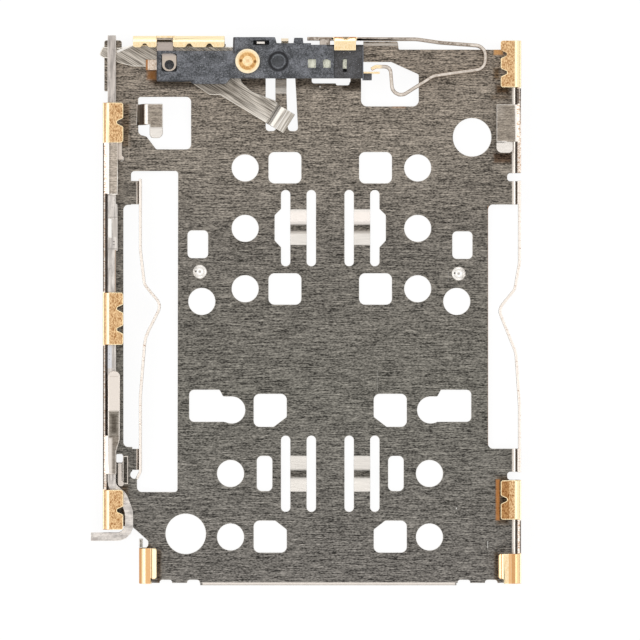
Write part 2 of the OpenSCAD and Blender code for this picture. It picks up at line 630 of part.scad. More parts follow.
// Eject lever: nose in the rod's notch, boss on the pivot, folded pusher at the far end
module eject_lever() color(steel) difference() {
    b = back_y;
    m = lever_z + lever_t / 2;
    union() {
        translate([0, 0, lever_z]) linear_extrude(lever_t) {
            flat([[-8.72, b - 0.43, 0.1], [-8.88, b - 0.77, 0.1], [-8.7, b - 0.89, 0.05],
                  [-8.45, b - 0.92], [-8.08, b - 1.11, 0.3], [-7.43, b - 1.26, 0.3],
                  [-6.92, b - 1.26, 0.5], [-5.07, b - 1.9, 0.5], [-4.28, b - 2.44, 0.06],
                  [-3.84, b - 2.45, 0.1], [-1.9, b - 3.62], [-1.4, b - 2.84],
                  [-1.54, b - 2.67, 0.08], [-1.98, b - 2.52, 0.4], [-2.52, b - 2.29, 0.4],
                  [-3.02, b - 1.82, 0.3], [-2.75, b - 1.2, 0.2], [-2.68, b - 0.45, 0.1],
                  [-7.52, b - 0.35, 0.2], [-7.83, b - 0.45, 0.1], [-8.1, b - 0.48]]);
            translate(pivot) circle(pivot_r + 0.3);
        }
        // Pusher, folded up and over across the arm
        translate([-1.65, b - 3.23, 0]) rotate(-31.5) along_y(-0.46, 0.46)
            polygon(strip(path([[-0.1, m], [0.02, m, 0.15], [0.3, m + 0.28, 0.15],
                                [0.82, m + 0.28]]), lever_t));
    }
    translate([pivot[0], pivot[1], 0]) cylinder(h = 2, r = pivot_r + pivot_gap);
}

// Shouldered pivot with a ringed head over the block
module lever_pivot() color(gold) translate([pivot[0], pivot[1], 0]) {
    cylinder(h = sheet_t + 0.01, r = spigot_r);
    translate([0, 0, sheet_t]) cylinder(h = block_top - sheet_t + 0.02, r = pivot_r);
    difference() {
        translate([0, 0, block_top]) cylinder(h = 0.1, r = pivot_head_r);
        translate([0, 0, block_top + 0.04]) difference() {
            cylinder(h = 1, r = pivot_head_r - 0.13);
            translate([0, 0, -1]) cylinder(h = 3, r = 0.2);
        }
        translate([0, 0, block_top + 0.07]) cylinder(h = 1, r = 0.11);
    }
}

shell();
housing();
eject_rod();
eject_lever();
lever_pivot();
switch_spring();
switch_contact();
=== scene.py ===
# %% [markdown]
# # A push-out reader for two small cards
# This lesson dresses a packed metal part: one stamped steel shell, a moulded block, a push
# rod, a lever on a rivet and a tray switch. The shapes are already exact solids. What is
# left is the finish: brushed stainless, gold plating on the solder feet, speckled plastic,
# and the soft light of a catalogue picture taken from straight above.

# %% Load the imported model
import math
import bmesh
import bpy
from mathutils import Matrix, Vector
from mathutils.bvhtree import BVHTree


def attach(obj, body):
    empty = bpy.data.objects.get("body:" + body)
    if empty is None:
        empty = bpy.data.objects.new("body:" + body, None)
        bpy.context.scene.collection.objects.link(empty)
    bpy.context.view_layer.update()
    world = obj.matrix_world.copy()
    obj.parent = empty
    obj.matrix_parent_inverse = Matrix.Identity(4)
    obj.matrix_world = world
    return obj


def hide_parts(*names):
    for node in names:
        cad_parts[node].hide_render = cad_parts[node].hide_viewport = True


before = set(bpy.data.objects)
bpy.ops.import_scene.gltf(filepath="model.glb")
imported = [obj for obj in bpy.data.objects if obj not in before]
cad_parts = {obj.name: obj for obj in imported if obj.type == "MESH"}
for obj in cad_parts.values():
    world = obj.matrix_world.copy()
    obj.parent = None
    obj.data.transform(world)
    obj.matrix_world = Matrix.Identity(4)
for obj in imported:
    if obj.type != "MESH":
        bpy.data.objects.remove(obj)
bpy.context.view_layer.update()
MM = 0.001
print("nodes:", sorted(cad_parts))

# %% [markdown]
# ## The camera
# The picture looks straight down at the solder side, with the tray mouth at the bottom.
# Its scale is 24 pixels to the millimetre, so 640 pixels are 26.67 mm. A long lens far away
# keeps the walls upright, as they are in the picture. The lens is aimed at a point, and its
# distance follows from the width that it has to see.

# %% Camera straight above
PIXELS_PER_MM = 24
IMAGE_SIDE = 640
VIEW_WIDTH = IMAGE_SIDE / PIXELS_PER_MM * MM
AIM = Vector((0.333, -0.375, 0.7)) * MM
LENS, SENSOR = 500, 36

camera = bpy.data.objects.new("camera", bpy.data.cameras.new("camera"))
camera.data.lens, camera.data.sensor_width = LENS, SENSOR
camera.location = AIM + Vector((0, 0, VIEW_WIDTH * LENS / SENSOR))
camera.data.clip_start, camera.data.clip_end = 0.01, 10
bpy.context.collection.objects.link(camera)
bpy.context.scene.camera = camera
print("camera height in mm:", round(camera.location.z / MM, 1))

# %% [markdown]
# ## Shader maths as Python
# A finish is a small network of nodes. Writing it as Python expressions keeps it readable:
# the class below wraps one socket, and adding or multiplying two of them adds a Math node.
# Every other kind of node comes from its one method, node().

# %% A socket that does arithmetic
class Wire:
    """One output socket of a material's tree, or just the tree when socket is None."""

    def __init__(self, tree, socket=None):
        self.tree, self.socket = tree, socket

    def node(self, kind, inputs=(), out=0, stops=(), **settings):
        made = self.tree.nodes.new(kind)
        for name, value in settings.items():
            setattr(made, name, value)
        if stops:
            elements = made.color_ramp.elements
            while len(elements) < len(stops):
                elements.new(0.5)
            for element, (place, colour) in zip(elements, stops):
                element.position, element.color = place, (*colour, 1)
        for key, value in dict(inputs).items():
            if isinstance(value, Wire):
                self.tree.links.new(value.socket, made.inputs[key])
            else:
                made.inputs[key].default_value = value
        return Wire(self.tree, made.outputs[out] if made.outputs else None)

    def math(self, operation, a, b=0.0, clamp=False):
        return self.node("ShaderNodeMath", {0: a, 1: b}, operation=operation, use_clamp=clamp)

    def __add__(self, other):
        return self.math("ADD", self, other)

    def __radd__(self, other):
        return self.math("ADD", other, self)

    def __sub__(self, other):
        return self.math("SUBTRACT", self, other)

    def __rsub__(self, other):
        return self.math("SUBTRACT", other, self)

    def __mul__(self, other):
        return self.math("MULTIPLY", self, other)

    def __rmul__(self, other):
        return self.math("MULTIPLY", other, self)

    def __truediv__(self, other):
        return self.math("DIVIDE", self, other)

    def clamp(self):
        return self.math("ADD", self, 0.0, clamp=True)

    def magnitude(self):
        return self.math("ABSOLUTE", self)

    def largest(self, other):
        return self.math("MAXIMUM", self, other)

    def least(self, other):
        return self.math("MINIMUM", self, other)

    def ramp(self, slope, start):
        """slope times this number plus start, kept between 0 and 1."""
        return self.node("ShaderNodeMath", {0: self, 1: slope, 2: start},
                         operation="MULTIPLY_ADD", use_clamp=True)

    def parts(self):
        """The three numbers of a vector."""
        node = self.node("ShaderNodeSeparateXYZ", {0: self}).socket.node
        return [Wire(self.tree, socket) for socket in node.outputs]


print("a wire adds a Math node for each of:", "+ - * /, clamp, magnitude, largest, least, ramp")

# %% [markdown]
# ## Where a point lies
# Every pattern here reads the Object coordinates, which are the same millimetres as in the
# drawing of the part. So a plated foot is simply a named box in space, and the same few
# helpers serve every finish: the place in millimetres, how far the surface leans, a box with
# soft sides, and fine noise stretched along a direction.

# %% Places, boxes and streaks
def new_finish(name):
    material = bpy.data.materials.new(name)
    material.use_nodes = True
    material.node_tree.nodes.clear()
    return material, Wire(material.node_tree)


def place_of(sheet):
    """The point in millimetres, as a vector and as its three numbers."""
    coordinates = sheet.node("ShaderNodeTexCoord", out="Object")
    point = sheet.node("ShaderNodeVectorMath", {0: coordinates, "Scale": 1 / MM},
                       operation="SCALE")
    return point, point.parts()


FLAT_ENOUGH = 0.0014  # Faces up to three degrees off an axis count as flat


def lean_of(sheet):
    """Lean is 1 on folds, slopes and bevelled edges, and steep is 1 where they near upright;
    the finishes paint light and shade there.
    """
    x, y, z = [part.magnitude() for part in
               sheet.node("ShaderNodeTexCoord", out="Normal").parts()]
    flatness = x.largest(y).largest(z)
    lean = ((1 - flatness - FLAT_ENOUGH) * 45).clamp()
    return lean, ((0.76 - z) * 12).clamp() * lean


def within(value, low, high, soft=0.02):
    """1 where value lies between low and high, fading over soft."""
    off = (value - (low + high) / 2).magnitude()
    return off.ramp(-1 / soft, (high - low) / 2 / soft)


def box_mask(point, box, soft=0.02):
    """1 inside the box (x0, x1, y0, y1), or (x0, x1, y0, y1, z0, z1)."""
    box = [*box, -50, 50][:6]
    middle = [(box[i] + box[i + 1]) / 2 for i in (0, 2, 4)]
    reach = [(box[i + 1] - box[i]) / 2 / soft for i in (0, 2, 4)]
    off = point.node("ShaderNodeVectorMath", {0: point, 1: middle}, operation="SUBTRACT")
    off = point.node("ShaderNodeVectorMath", {0: off}, operation="ABSOLUTE")
    room = point.node("ShaderNodeVectorMath", {0: off, 1: (-1 / soft,) * 3, 2: reach},
                      operation="MULTIPLY_ADD")
    x, y, z = room.parts()
    return x.least(y).least(z).clamp()


def bar_mask(at, x, y, length, width, turn, soft=0.02):
    """1 inside a bar centred on x, y and turned by turn degrees."""
    c, s = math.cos(math.radians(turn)), math.sin(math.radians(turn))
    along = (at[0] - x) * c + (at[1] - y) * s
    across = (at[1] - y) * c - (at[0] - x) * s
    return (within(along, -length / 2, length / 2, soft)
            * within(across, -width / 2, width / 2, soft))


def disc_mask(sheet, point, centre, inner, outer, soft=0.02):
    """1 in the ring round centre, between the radii inner and outer."""
    flat = sheet.node("ShaderNodeVectorMath", {0: point, 1: (1, 1, 0)}, operation="MULTIPLY")
    far = sheet.node("ShaderNodeVectorMath", {0: flat, 1: (*centre, 0)}, out="Value",
                     operation="DISTANCE")
    return within(far, inner, outer, soft)


def any_of(masks):
    total = masks[0]
    for mask in masks[1:]:
        total = total.largest(mask)
    return total


def stretched_noise(sheet, point, scale, detail=2.0, roughness=0.6, turn=0.0):
    """Noise with a grain of 1/scale mm along each axis, turned about Z by turn degrees."""
    if turn:
        point = sheet.node("ShaderNodeVectorRotate", {"Vector": point,
                                                      "Angle": math.radians(-turn)},
                           rotation_type="Z_AXIS")
    scaled = sheet.node("ShaderNodeVectorMath", {0: point, 1: scale}, operation="MULTIPLY")
    return sheet.node("ShaderNodeTexNoise", {"Vector": scaled, "Scale": 1.0,
                                             "Detail": detail, "Roughness": roughness})


def mix(sheet, factor, a, b, blend="MIX"):
    """Colour a where factor is 0 and b where it is 1."""
    return sheet.node("ShaderNodeMix", {0: factor, 6: a, 7: b}, out=2, data_type="RGBA",
                      blend_type=blend, clamp_factor=True)


def grey(sheet, value):
    """A number as a colour."""
    return sheet.node("ShaderNodeCombineColor", {0: value, 1: value, 2: value})


def seen(red, green, blue):
    """A colour as it looks on a screen, 0 to 255, turned into the linear one Blender uses."""
    linear = [((c / 255 + 0.055) / 1.055) ** 2.4 if c > 10 else c / 255 / 12.92
              for c in (red, green, blue)]
    return (*linear, 1)


def finish_surface(sheet, colour, roughness, metallic=1.0, bump=None, depth=0.001, **fixed):
    """Closes a finish with its shader; depth is the height of the bump in millimetres."""
    inputs = {"Base Color": colour, "Roughness": roughness, "Metallic": metallic}
    inputs.update({key.replace("_", " ").title(): value for key, value in fixed.items()})
    if bump is not None:
        inputs["Normal"] = sheet.node("ShaderNodeBump", {"Height": bump, "Strength": 1.0,
                                                         "Distance": depth * MM})
    shader = sheet.node("ShaderNodeBsdfPrincipled", inputs)
    sheet.node("ShaderNodeOutputMaterial", {"Surface": shader})


# %% [markdown]
# ## Brushed stainless sheet
# The sheet was rolled and brushed across the part before it was stamped, so fine streaks run
# from left to right on the roof and carry on over the folds. It is a warm olive grey at the
# back, where the block stands, and more neutral towards the mouth. Folds and bevelled edges
# get a pale painted highlight, and the steep side of some folds a dark painted shade. The
# gold sits only on the solder feet.
#
# The sheet takes two finishes, which differ only in their marks: one for the roof, and one
# for all that stands on it. The next cells list the places, each as a box in millimetres.

# %% Where the plated feet are
SIDE_FEET = [(-8.8, -7.7, 7.0, 8.68), (-8.8, -7.7, -1.42, 0.78), (-8.8, -7.7, -9.11, -7.43),
             (7.7, 8.8, 9.29, 11.26), (7.7, 8.8, -8.7, -7.03)]
MOUTH_FEET = [(-7.3, -6.3, -11.5, -9.86), (7.7, 8.8, -11.5, -10.09)]
BACK_FEET = [(-7.46, -6.45, 10.9, 11.5), (-5.79, -3.63, 10.9, 11.5),
             (-6.46, -5.78, 11.35, 11.5)]
PLATED_FROM = 0.42  # The plating starts this high above the roof
# The middle of the lower right foot is a darker, browner gold
DARKER_FOOT_MIDDLE = (7.8, 8.22, -8.66, -7.08)
# Bands across the two mouth feet, their gold tones with painted light and shade where they
# bend, and pale painted highlights on the edge of the lower left foot: x0, x1, y0, y1 and the
# colour
GOLD_BANDS = [(-7.25, -7.08, -11.5, -9.8, seen(206, 142, 80)),
              (-6.917, -6.72, -11.5, -9.8, seen(232, 178, 120)),
              (-6.69, -6.645, -11.5, -9.8, seen(172, 112, 60)),
              (7.7, 7.84, -11.5, -10.0, seen(250, 208, 156)),
              (7.85, 7.91, -11.5, -10.0, seen(168, 110, 58)),
              (8.18, 8.29, -11.5, -10.0, seen(234, 180, 122)),
              (8.29, 8.46, -11.5, -10.0, seen(206, 146, 88)),
              (8.46, 8.66, -11.5, -10.0, seen(246, 208, 156)),
              (-7.76, -7.71, -8.65, -8.0, seen(250, 238, 220)),
              (-7.87, -7.76, -9.2, -8.5, seen(252, 240, 222))]
print("plated feet:", len(SIDE_FEET + MOUTH_FEET + BACK_FEET))

# %% Places with a finish of their own
DIMPLES = ((-4.68, 1.64), (6.12, 1.56))
# Top edges of the two detent springs
SPRING_EDGES = [(-7.3, -6.2, -7.2, 5.6), (7.6, 8.75, -6.75, 5.45)]
# Folds whose steep side is painted dark, as painted shade
STEEP_PLACES = [(-8.75, -8.3, -11.5, 11.5), (8.44, 8.6, -11.5, 11.5), (-7.2, -6.9, 7.7, 8.8),
                (-7.45, -7.1, -6.7, 5.5)]
print("springs:", len(SPRING_EDGES), "dark folds:", len(STEEP_PLACES))

# %% Painted marks
# Marks in the steel, many of them painted highlights and painted shade: a box (x0, x1, y0, y1,
# z0, z1), its softness, a colour and its share
TOP, SHEET, STANDING = (1.0, 1.6), (-0.1, 0.4), (0.45, 1.6)
PALE, WARM, BLACK = seen(240, 231, 221), seen(176, 118, 62), seen(34, 28, 24)
PAINTED = [
    # Arm over the rod, and the lip beyond it: painted highlights on its sloping end and along
    # its sides, and a grey line across it
    ((-8.55, -7.8, -4.2, -2.4, *TOP), 0.08, seen(236, 226, 216), 0.95),
    ((-8.42, -8.05, -2.76, -2.70, *TOP), 0.03, seen(196, 184, 172), 0.7),
    ((-8.06, -7.8, -5.6, -4.2, *TOP), 0.05, PALE, 0.6),
    ((-8.55, -8.42, -5.6, -4.2, *TOP), 0.05, PALE, 0.6),
    # Tongue in the block's pocket and its root at the back wall, painted pale as a painted
    # highlight, black painted shade in the slot above the root, and a pale tab in a slot of the
    # wall
    ((-6.5, -5.6, 9.9, 10.65, 0.8, 1.2), 0.03, seen(208, 194, 180), 0.85),
    ((-6.5, -5.7, 10.6, 11.2, 0.8, 1.2), 0.03, seen(192, 180, 172), 0.85),
    ((-6.47, -5.82, 11.2, 11.3, 0.5, 1.6), 0.02, BLACK, 0.95),
    ((-2.33, -1.93, 11.0, 11.32, 0.5, 1.6), 0.02, seen(244, 238, 230), 0.9),
    # Painted warm reflections on the sheet beside the feet and under the stub, and one warm
    # smudge
    ((7.64, 7.86, -8.76, -7.0, *SHEET), 0.07, seen(206, 138, 76), 0.8),
    ((-6.95, -6.45, 9.6, 10.1, *SHEET), 0.12, seen(150, 100, 52), 0.7),
    ((3.3, 3.95, 8.42, 8.72, *SHEET), 0.15, WARM, 0.5),
    ((7.55, 8.0, 10.65, 10.95, *SHEET), 0.08, seen(226, 170, 108), 0.8),
    # Bent back edge under the switch spring: a painted highlight along it, and black painted
    # shade at its end
    ((1.9, 3.6, 11.05, 11.2, *SHEET), 0.04, seen(214, 206, 196), 0.8),
    ((1.9, 2.15, 11.05, 11.35, *SHEET), 0.04, BLACK, 0.9),
    # Pale guide cheeks, a painted highlight on the finger's first fold, and pale dimples
    ((-8.12, -7.84, -7.4, -6.2, *STANDING), 0.02, seen(226, 216, 206), 0.85),
    ((-8.12, -7.84, 6.3, 7.5, *STANDING), 0.02, seen(230, 218, 206), 0.85),
    ((-7.3, -7.18, 7.7, 8.75, 0.1, 1.6), 0.02, PALE, 0.9),
    ((-4.97, -4.39, 1.35, 1.93, 0.155, 0.3), 0.02, seen(246, 242, 236), 0.95),
    ((5.83, 6.41, 1.27, 1.85, 0.155, 0.3), 0.02, seen(246, 242, 236), 0.95),
    # Painted shade, black, on the inner half of the wall's top edge and in the gap between the
    # wall and the rod
    ((-8.625, -8.5, -5.2, -1.4, 0.1, 1.35), 0.02, BLACK, 0.9),
    ((-8.625, -8.5, 0.7, 4.9, 0.1, 1.35), 0.02, BLACK, 0.9),
    # Arm's root: a painted highlight at its fold, and mid grey beside it
    ((-8.65, -8.28, -7.1, -5.25, *TOP), 0.08, seen(236, 227, 218), 0.85),
    ((-8.28, -8.16, -7.0, -5.6, *TOP), 0.06, seen(142, 136, 129), 0.6),
    ((-8.16, -8.08, -7.0, -5.6, *TOP), 0.04, seen(206, 198, 190), 0.6),
    # Raised rim of the guide slots
    ((-7.91, -7.86, -7.22, -6.04, *SHEET), 0.015, seen(244, 236, 226), 0.95),
    ((-7.72, -7.67, -7.22, -6.04, *SHEET), 0.015, seen(244, 236, 226), 0.95),
    ((-7.91, -7.67, -6.09, -6.04, *SHEET), 0.015, seen(244, 236, 226), 0.95),
    ((-7.91, -7.67, -7.22, -7.17, *SHEET), 0.015, seen(244, 236, 226), 0.95),
    ((-7.66, -7.62, 6.34, 7.4, *SHEET), 0.02, seen(214, 200, 184), 0.7),
    ((-7.8, -7.62, 6.34, 6.38, *SHEET), 0.02, seen(214, 200, 184), 0.7),
    # Lip of the mouth, and the warm line along the two big openings
    ((-4.6, 6.0, -11.46, -11.3, *SHEET), 0.06, seen(240, 231, 222), 0.9),
    ((7.33, 7.37, -5.6, 4.4, *SHEET), 0.015, seen(196, 146, 104), 0.7),
    ((-7.08, -7.04, -5.2, 4.3, *SHEET), 0.015, seen(186, 150, 118), 0.6),
    # Painted shade: a dark strip beside the top right foot
    ((8.46, 8.64, 8.62, 9.26, 0.1, 1.35), 0.02, seen(66, 54, 46), 0.8),
    # Painted highlights on the folds of the detent roots and of the right wall, and black
    # painted shade in the right wall's inner fold
    ((-7.34, -7.2, 4.3, 5.5, *SHEET), 0.03, seen(216, 208, 200), 0.8),
    ((-7.34, -7.2, -6.7, -5.7, *SHEET), 0.03, seen(212, 202, 192), 0.8),
    ((8.33, 8.46, -11.5, 11.3, 0.1, 0.3), 0.03, PALE, 0.9),
    ((8.475, 8.56, -11.5, 11.3, 0.1, 0.34), 0.02, BLACK, 0.8),
    # Middle of the upper bridges lies a little low, so their upper slopes get a painted
    # highlight
    ((-0.95, -0.18, 3.58, 4.3, 0.16, 0.5), 0.05, seen(226, 218, 211), 0.9),
    ((1.7, 2.47, 3.58, 4.3, 0.16, 0.5), 0.05, seen(226, 218, 211), 0.9),
    # Fine scratches
    ((2.72, 2.745, -3.35, -2.45, *SHEET), 0.01, seen(170, 166, 160), 0.6),
    ((7.31, 7.35, -9.9, -9.6, *SHEET), 0.01, seen(206, 204, 200), 0.8),
    ((7.5, 8.05, -9.52, -9.49, *SHEET), 0.02, seen(190, 186, 180), 0.7),
    ((6.0, 6.05, -8.27, -8.2, *SHEET), 0.01, seen(230, 228, 224), 0.9),
    ((5.68, 5.7, 1.25, 1.65, *SHEET), 0.01, seen(190, 186, 180), 0.7),
    ((0.3, 0.37, 9.32, 9.4, *SHEET), 0.02, seen(230, 226, 220), 0.7),
]
print("painted marks:", len(PAINTED))

# %% Shaded places
# Painted shade, shadows and warm reflections that keep the brushed grain, and one brightened
# lip: box, softness, and what the colour is multiplied by
SHADED = [
    # Painted shade on the flat of the arm over the rod, a slightly darker root, and a brighter
    # upper lip over the rod
    ((-8.42, -8.06, -5.15, -4.25, *TOP), 0.12, (0.42, 0.4, 0.38)),
    ((-8.42, -7.9, -7.1, -5.15, *TOP), 0.15, (0.95, 0.92, 0.9)),
    ((-8.41, -7.9, 4.8, 7.03, *TOP), 0.05, (1.5, 1.5, 1.52)),
    # Painted shadows and warm reflections on the sheet by the two right feet, and a painted
    # shadow under the right finger's end
    ((7.6, 8.3, -9.0, -6.8, *SHEET), 0.2, (0.62, 0.5, 0.4)),
    ((7.5, 8.4, 6.1, 6.66, *SHEET), 0.14, (0.42, 0.32, 0.26)),
    ((7.6, 8.3, 9.0, 9.5, *SHEET), 0.15, (0.4, 0.3, 0.22)),
    ((7.5, 7.9, 9.6, 10.2, *SHEET), 0.15, (0.5, 0.4, 0.3)),
    ((7.4, 8.3, 8.75, 9.1, *SHEET), 0.2, (0.6, 0.52, 0.45)),
    # Painted shadow under the block and under its right corner, and painted shade with a warm
    # reflection under the stub
    ((-6.75, 2.45, 9.22, 9.8, *SHEET), 0.2, (0.4, 0.38, 0.36)),
    ((1.2, 2.6, 9.1, 9.7, *SHEET), 0.15, (0.4, 0.38, 0.36)),
    ((-6.85, -6.3, 9.4, 10.9, *SHEET), 0.18, (0.6, 0.5, 0.44)),
    # Painted shade on the flat middles of the bridges
    ((-0.95, -0.18, 3.2, 3.58, 0.16, 0.5), 0.05, (0.72, 0.7, 0.68)),
    ((1.7, 2.47, 3.2, 3.58, 0.16, 0.5), 0.05, (0.72, 0.7, 0.68)),
    ((-0.95, -0.18, -6.95, -6.65, 0.16, 0.5), 0.05, (0.72, 0.7, 0.68)),
    ((1.7, 2.47, -6.95, -6.65, 0.16, 0.5), 0.05, (0.72, 0.7, 0.68)),
    # Painted shade and warm reflections on the sheet beside the mouth feet and the lower left
    # foot
    ((-7.05, -6.7, -11.5, -9.7, *SHEET), 0.1, (0.5, 0.4, 0.3)),
    ((-6.55, -6.25, -11.5, -9.9, *SHEET), 0.12, (0.55, 0.45, 0.36)),
    ((7.55, 7.85, -11.5, -10.0, *SHEET), 0.12, (0.55, 0.45, 0.36)),
    ((-8.05, -7.6, -9.2, -7.2, *SHEET), 0.15, (0.6, 0.48, 0.38)),
    # Painted shade inside the rim of the lower guide slot
    ((-7.87, -7.71, -7.18, -6.08, *SHEET), 0.02, (0.5, 0.48, 0.45)),
    # Painted shade and warm reflections beside the two upper left feet
    ((-8.0, -7.55, 6.8, 8.7, *SHEET), 0.12, (0.66, 0.58, 0.5)),
    ((-8.0, -7.55, -1.5, 0.9, *SHEET), 0.12, (0.66, 0.58, 0.5)),
]
print("shaded places:", len(SHADED))


# %% The colour of the gold
def gold_colour(sheet, point, lean, steep, pale):
    """Matt orange gold and its grain, with a painted highlight on folds; steep is 1 where a
    fold gets painted shade, and pale where the gold is cream.
    """
    grain = stretched_noise(sheet, point, (8, 5, 6), detail=3, roughness=0.75)
    fleck = stretched_noise(sheet, point, (26, 11, 14), detail=1)
    tone = ((grain - 0.5) * 2.2 + (fleck - 0.5) * 3.0 + 0.55).clamp()
    flat = mix(sheet, tone, seen(166, 114, 66), seen(244, 207, 157))
    # The middle of the lower right foot is multiplied darker and browner
    darker_middle = box_mask(point, DARKER_FOOT_MIDDLE, 0.03) * (1 - lean)
    flat = mix(sheet, darker_middle, flat, (0.62, 0.5, 0.38, 1), "MULTIPLY")
    cream = mix(sheet, tone, seen(244, 212, 160), seen(254, 234, 194))
    flat = mix(sheet, pale, flat, cream)
    # Folds get a pale painted highlight
    flat = mix(sheet, lean, flat, seen(253, 234, 192))
    # The steep side of a fold gets a dark orange, dotted painted shade
    dotted = ((fleck - 0.5) * 5 + 0.6).clamp()
    edge = mix(sheet, dotted, seen(176, 104, 48), seen(232, 172, 110))
    return mix(sheet, steep, flat, edge), tone


# %% Brushed steel
MOUTH_Y, BACK_Y = -11.5, 11.5
# Colours of the roof from the mouth to the back
ROOF_TONES = [(0.0, seen(114, 110, 105)[:3]), (0.35, seen(112, 109, 102)[:3]),
              (0.62, seen(114, 109, 102)[:3]), (0.8, seen(132, 124, 114)[:3]),
              (1.0, seen(138, 127, 115)[:3])]


def dimple_marks(sheet, point, tone):
    """Pressed dimples: a grey ring, a dark spot beside it and a grey middle."""
    for x, y in DIMPLES:
        ring = disc_mask(sheet, point, (x, y), 0.17, 0.2, 0.01)
        spot = disc_mask(sheet, point, (x - 0.17, y + 0.02), -1, 0.05, 0.02)
        middle = disc_mask(sheet, point, (x, y), -1, 0.05, 0.03)
        dimple = box_mask(point, (x - 0.3, x + 0.3, y - 0.3, y + 0.3, 0.1, 0.3))
        tone = mix(sheet, ring.largest(middle) * dimple * 0.55, tone, seen(140, 134, 126))
        tone = mix(sheet, spot * dimple * 0.9, tone, seen(58, 52, 46))
    return tone


def make_steel(name, standing):
    """The roof, or what stands on it, which carries the gold."""
    material, sheet = new_finish(name)
    point, at = place_of(sheet)
    lean, steep = lean_of(sheet)
    steep = steep * any_of([box_mask(point, box) for box in STEEP_PLACES])
    along = sheet.node("ShaderNodeCombineXYZ", {0: at[0] + at[2], 1: at[1], 2: at[2]})
    fine = stretched_noise(sheet, along, (6, 30, 12), detail=1)
    grain = stretched_noise(sheet, along, (13, 27, 16), detail=0)
    streak = stretched_noise(sheet, along, (1.3, 26, 8), detail=1)
    cloud = stretched_noise(sheet, along, (0.35, 0.6, 0.5), detail=2)
    height = sheet.node("ShaderNodeMapRange", {"Value": at[1], "From Min": MOUTH_Y,
                                               "From Max": BACK_Y})
    tone = sheet.node("ShaderNodeValToRGB", {0: height}, stops=ROOF_TONES)
    bright = ((streak - 0.57) * 6).clamp() * ((fine - 0.5) * 8).clamp()
    brush = ((fine - 0.5) * 2.4 + (grain - 0.5) * 2.0 + (streak - 0.5) * 3.0 + bright * 0.35
             + (cloud - 0.5) * 0.5)
    wave = (1 + brush).largest(0.2)
    tone = mix(sheet, 1.0, tone, grey(sheet, wave), "MULTIPLY")
    lifted = within(at[2], 1.0, 1.6, 0.1)
    tone = mix(sheet, lifted * 0.3, tone, seen(196, 182, 166))
    dots = ((grain - 0.5) * 4 + (fine - 0.5) * 3 + 0.7).clamp()
    # Folds and bevelled edges get a pale painted highlight
    fold_highlight = mix(sheet, streak, seen(202, 197, 190), seen(232, 226, 219))
    tone = mix(sheet, lean * 0.92, tone, fold_highlight)
    # The steep side of the listed folds gets a dark painted shade
    tone = mix(sheet, steep * 0.9, tone, mix(sheet, dots, seen(52, 38, 28),
                                             seen(150, 122, 98)))
    rims = within(at[2], 1.1, 1.3, 0.02) * ((at[0].magnitude() - 8.52) / 0.01).clamp()
    springs = within(at[2], 0.9, 1.3, 0.05) * any_of([box_mask(point, box)
                                                      for box in SPRING_EDGES])
    tone = mix(sheet, rims * 0.9, tone, mix(sheet, dots, seen(186, 152, 122),
                                            seen(248, 236, 224)))
    specks = ((0.36 - fine) * 9).clamp()
    tone = mix(sheet, springs * 0.95, tone, mix(sheet, specks, seen(248, 238, 228),
                                                seen(168, 128, 100)))
    for box, soft, factor in SHADED:
        if standing == (box[4] > 0.4):
            tone = mix(sheet, box_mask(point, box, soft), tone, (*factor, 1), "MULTIPLY")
    for box, soft, mark, share in PAINTED:
        if standing == (box[5] > 0.8):
            tone = mix(sheet, box_mask(point, box, soft) * share, tone, mark)
    rough = (0.36 + (fine - 0.5) * 0.3).clamp()
    if not standing:
        tone = dimple_marks(sheet, point, tone)
        finish_surface(sheet, tone, rough, bump=fine, depth=0.002)
        return material
    high = ((at[2] - PLATED_FROM) / 0.05).clamp()
    side = any_of([box_mask(point, box) for box in SIDE_FEET]) * high
    ends = any_of([box_mask(point, box) for box in MOUTH_FEET + BACK_FEET]) * high
    # The steep side of the left feet's folds gets painted shade in the gold
    dark_side = steep * within(at[0], -9, -8)
    gold, mottle = gold_colour(sheet, point, lean, dark_side, ends)
    for x0, x1, y0, y1, band in GOLD_BANDS:
        gold = mix(sheet, box_mask(point, (x0, x1, y0, y1), 0.01) * 0.85, gold, band)
    plated = side.largest(ends)
    colour = mix(sheet, plated, tone, gold)
    finish_surface(sheet, colour, rough, bump=fine + plated * mottle * 0.4, depth=0.002)
    return material


roof_steel = make_steel("brushed_stainless_roof", standing=False)
wall_steel = make_steel("brushed_stainless_walls", standing=True)
print("steel nodes:", len(roof_steel.node_tree.nodes), len(wall_steel.node_tree.nodes))

# %% [markdown]
# ## Rod and lever
# The rod is a bright strip stood on edge: its top is a sheared and polished edge with faint
# grey marks along it. The lever is cut from brushed strip whose grain runs along its slanting
# arm, and its folded pusher carries painted light and shade: pale and dark stripes along its
# bends.

# %% Bright rod
ROD_TOP = (0.95, 1.2)
